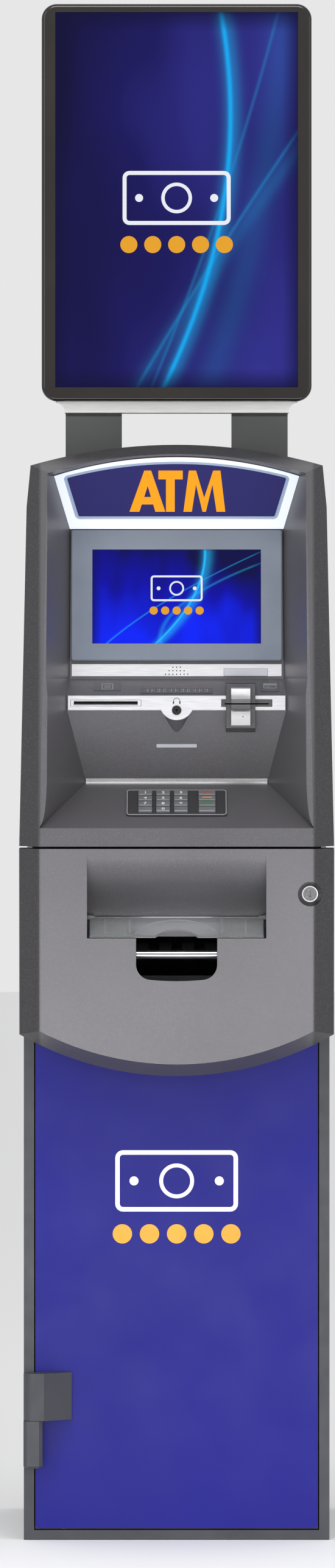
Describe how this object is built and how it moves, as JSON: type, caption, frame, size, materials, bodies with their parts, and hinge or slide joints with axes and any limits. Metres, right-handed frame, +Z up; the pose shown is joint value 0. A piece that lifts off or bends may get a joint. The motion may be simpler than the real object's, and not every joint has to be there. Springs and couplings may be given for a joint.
{
  "type": "cash machine",
  "caption": "Free-standing cash machine: safe with hinged door, two swinging fascias, keypad, card slot, receipt slot, cash outlet with a clear flap and a tall screen on top.",
  "frame": {"origin": "on the floor, under the centre of the overall box", "axes": "+Z up, -Y towards the customer, +X to the customer's right"},
  "size_m": [0.412, 0.57, 2.023],
  "materials": {
    "safe_paint": "fine texture",
    "door_paint": "satin",
    "cabinet_paint": "fine texture",
    "fascia_metallic": "metallic satin",
    "bright_trim": "satin",
    "polished": "polished",
    "bare_steel": "brushed",
    "sign_white": "lit from behind",
    "sign_lens": "lit from behind",
    "screen_surround": "fine texture",
    "display_glass": "glossy",
    "lens_clear": "frosted",
    "dark_plastic": "fine texture",
    "light_plastic": "satin",
    "key_grey": "satin",
    "keypad_steel": "satin",
    "clear_guard": "clear",
    "topper_gloss": "high gloss",
    "cassette_plastic": "moulded",
    "roller_rubber": "matt",
    "paper_white": "smooth"
  },
  "bodies": {
    "machine": {"safe_body": "safe_paint", "safe_hinge_fixed": "safe_paint", "dispenser_frame": "bare_steel", "cash_cassettes": "cassette_plastic", "upper_cabinet": "cabinet_paint", "rear_panel": "cabinet_paint", "cover_screws": "bare_steel", "controller_unit": "bare_steel", "power_inlet": "dark_plastic", "topper_bezel": "topper_gloss", "topper_screen": "display_glass", "topper_housing": "topper_gloss", "topper_crossbar": "bright_trim", "topper_brackets": "cabinet_paint"},
    "upper_fascia": {"upper_shell": "fascia_metallic", "sign_bezel": "sign_white", "sign_panel": "sign_lens", "screen_bezel": "screen_surround", "screen_panel": "display_glass", "speaker_strip": "bright_trim", "light_lenses": "lens_clear", "reader_strip": "bright_trim", "receipt_mouth": "bright_trim", "audio_jack": "polished", "card_reader_bezel": "dark_plastic", "card_reader_nose": "light_plastic", "label_plates": "bright_trim", "keypad_plate": "keypad_steel", "receipt_printer": "bare_steel"},
    "safe_door": {"door_slab": "safe_paint", "door_skin": "door_paint", "safe_hinge_moving": "safe_paint", "fascia_mounts": "bare_steel"},
    "lower_fascia": {"lower_shell": "fascia_metallic", "cash_chute": "dark_plastic", "chrome_lip": "polished", "fascia_lock_body": "polished"},
    "outlet_flap": {"cash_flap": "clear_guard"},
    "fascia_lock": {"lock_plug": "polished"},
    "handle": {"safe_handle": "polished"},
    "dial": {"safe_dial": "dark_plastic"},
    "bolts": {"safe_bolts": "polished"},
    "presenter": {"presenter_rollers": "roller_rubber"},
    "receipt_roll": {"paper_roll": "paper_white"},
    "key_1_cap": {"key_1": "key_grey"},
    "key_2_cap": {"key_2": "key_grey"},
    "key_3_cap": {"key_3": "key_grey"},
    "key_cancel_cap": {"key_cancel": "key_grey"},
    "key_4_cap": {"key_4": "key_grey"},
    "key_5_cap": {"key_5": "key_grey"},
    "key_6_cap": {"key_6": "key_grey"},
    "key_clear_cap": {"key_clear": "key_grey"},
    "key_7_cap": {"key_7": "key_grey"},
    "key_8_cap": {"key_8": "key_grey"},
    "key_9_cap": {"key_9": "key_grey"},
    "key_enter_cap": {"key_enter": "key_grey"},
    "key_left_blank_cap": {"key_left_blank": "key_grey"},
    "key_0_cap": {"key_0": "key_grey"},
    "key_right_blank_cap": {"key_right_blank": "key_grey"},
    "key_blank_cap": {"key_blank": "key_grey"}
  },
  "joints": [
    {"name": "upper_fascia_swing", "type": "hinge", "parent": "machine", "child": "upper_fascia", "pos_m": [-0.196, -0.186, 1.17], "axis": [0, 0, -1], "range_deg": [0, 95]},
    {"name": "safe_door_swing", "type": "hinge", "parent": "machine", "child": "safe_door", "pos_m": [-0.19, -0.198, 0.45], "axis": [0, 0, -1], "range_deg": [0, 90]},
    {"name": "lower_fascia_swing", "type": "hinge", "parent": "safe_door", "child": "lower_fascia", "pos_m": [-0.2, -0.214, 0.78], "axis": [0, 0, -1], "range_deg": [0, 70]},
    {"name": "outlet_flap_lift", "type": "hinge", "parent": "lower_fascia", "child": "outlet_flap", "pos_m": [0, -0.232, 0.82], "axis": [-1, 0, 0], "range_deg": [0, 55]},
    {"name": "fascia_lock_turn", "type": "hinge", "parent": "lower_fascia", "child": "fascia_lock", "pos_m": [0.174, -0.25, 0.852], "axis": [0, -1, 0], "range_deg": [0, 90]},
    {"name": "handle_turn", "type": "hinge", "parent": "safe_door", "child": "handle", "pos_m": [0.1, -0.18, 0.69], "axis": [0, -1, 0], "range_deg": [0, 90]},
    {"name": "dial_turn", "type": "hinge", "parent": "safe_door", "child": "dial", "pos_m": [-0.06, -0.18, 0.684], "axis": [0, -1, 0], "continuous": true},
    {"name": "bolts_slide", "type": "slide", "parent": "safe_door", "child": "bolts", "axis": [1, 0, 0], "range_m": [0, 0.01]},
    {"name": "presenter_spin", "type": "hinge", "parent": "machine", "child": "presenter", "pos_m": [0, -0.128, 0.772], "axis": [1, 0, 0], "continuous": true},
    {"name": "receipt_roll_spin", "type": "hinge", "parent": "upper_fascia", "child": "receipt_roll", "pos_m": [-0.093, -0.079, 1.116], "axis": [1, 0, 0], "continuous": true},
    {"name": "key_1_press", "type": "slide", "parent": "upper_fascia", "child": "key_1_cap", "axis": [0, 0.4261, -0.9047], "range_m": [0, 0.002], "stiffness_N_per_m": 600},
    {"name": "key_2_press", "type": "slide", "parent": "upper_fascia", "child": "key_2_cap", "axis": [0, 0.4261, -0.9047], "range_m": [0, 0.002], "stiffness_N_per_m": 600},
    {"name": "key_3_press", "type": "slide", "parent": "upper_fascia", "child": "key_3_cap", "axis": [0, 0.4261, -0.9047], "range_m": [0, 0.002], "stiffness_N_per_m": 600},
    {"name": "key_cancel_press", "type": "slide", "parent": "upper_fascia", "child": "key_cancel_cap", "axis": [0, 0.4261, -0.9047], "range_m": [0, 0.002], "stiffness_N_per_m": 600},
    {"name": "key_4_press", "type": "slide", "parent": "upper_fascia", "child": "key_4_cap", "axis": [0, 0.4261, -0.9047], "range_m": [0, 0.002], "stiffness_N_per_m": 600},
    {"name": "key_5_press", "type": "slide", "parent": "upper_fascia", "child": "key_5_cap", "axis": [0, 0.4261, -0.9047], "range_m": [0, 0.002], "stiffness_N_per_m": 600},
    {"name": "key_6_press", "type": "slide", "parent": "upper_fascia", "child": "key_6_cap", "axis": [0, 0.4261, -0.9047], "range_m": [0, 0.002], "stiffness_N_per_m": 600},
    {"name": "key_clear_press", "type": "slide", "parent": "upper_fascia", "child": "key_clear_cap", "axis": [0, 0.4261, -0.9047], "range_m": [0, 0.002], "stiffness_N_per_m": 600},
    {"name": "key_7_press", "type": "slide", "parent": "upper_fascia", "child": "key_7_cap", "axis": [0, 0.4261, -0.9047], "range_m": [0, 0.002], "stiffness_N_per_m": 600},
    {"name": "key_8_press", "type": "slide", "parent": "upper_fascia", "child": "key_8_cap", "axis": [0, 0.4261, -0.9047], "range_m": [0, 0.002], "stiffness_N_per_m": 600},
    {"name": "key_9_press", "type": "slide", "parent": "upper_fascia", "child": "key_9_cap", "axis": [0, 0.4261, -0.9047], "range_m": [0, 0.002], "stiffness_N_per_m": 600},
    {"name": "key_enter_press", "type": "slide", "parent": "upper_fascia", "child": "key_enter_cap", "axis": [0, 0.4261, -0.9047], "range_m": [0, 0.002], "stiffness_N_per_m": 600},
    {"name": "key_left_blank_press", "type": "slide", "parent": "upper_fascia", "child": "key_left_blank_cap", "axis": [0, 0.4261, -0.9047], "range_m": [0, 0.002], "stiffness_N_per_m": 600},
    {"name": "key_0_press", "type": "slide", "parent": "upper_fascia", "child": "key_0_cap", "axis": [0, 0.4261, -0.9047], "range_m": [0, 0.002], "stiffness_N_per_m": 600},
    {"name": "key_right_blank_press", "type": "slide", "parent": "upper_fascia", "child": "key_right_blank_cap", "axis": [0, 0.4261, -0.9047], "range_m": [0, 0.002], "stiffness_N_per_m": 600},
    {"name": "key_blank_press", "type": "slide", "parent": "upper_fascia", "child": "key_blank_cap", "axis": [0, 0.4261, -0.9047], "range_m": [0, 0.002], "stiffness_N_per_m": 600}
  ],
  "couplings": [
    {"joint": "handle_turn", "follows": "bolts_slide", "rad_per_m": 157.08}
  ]
}
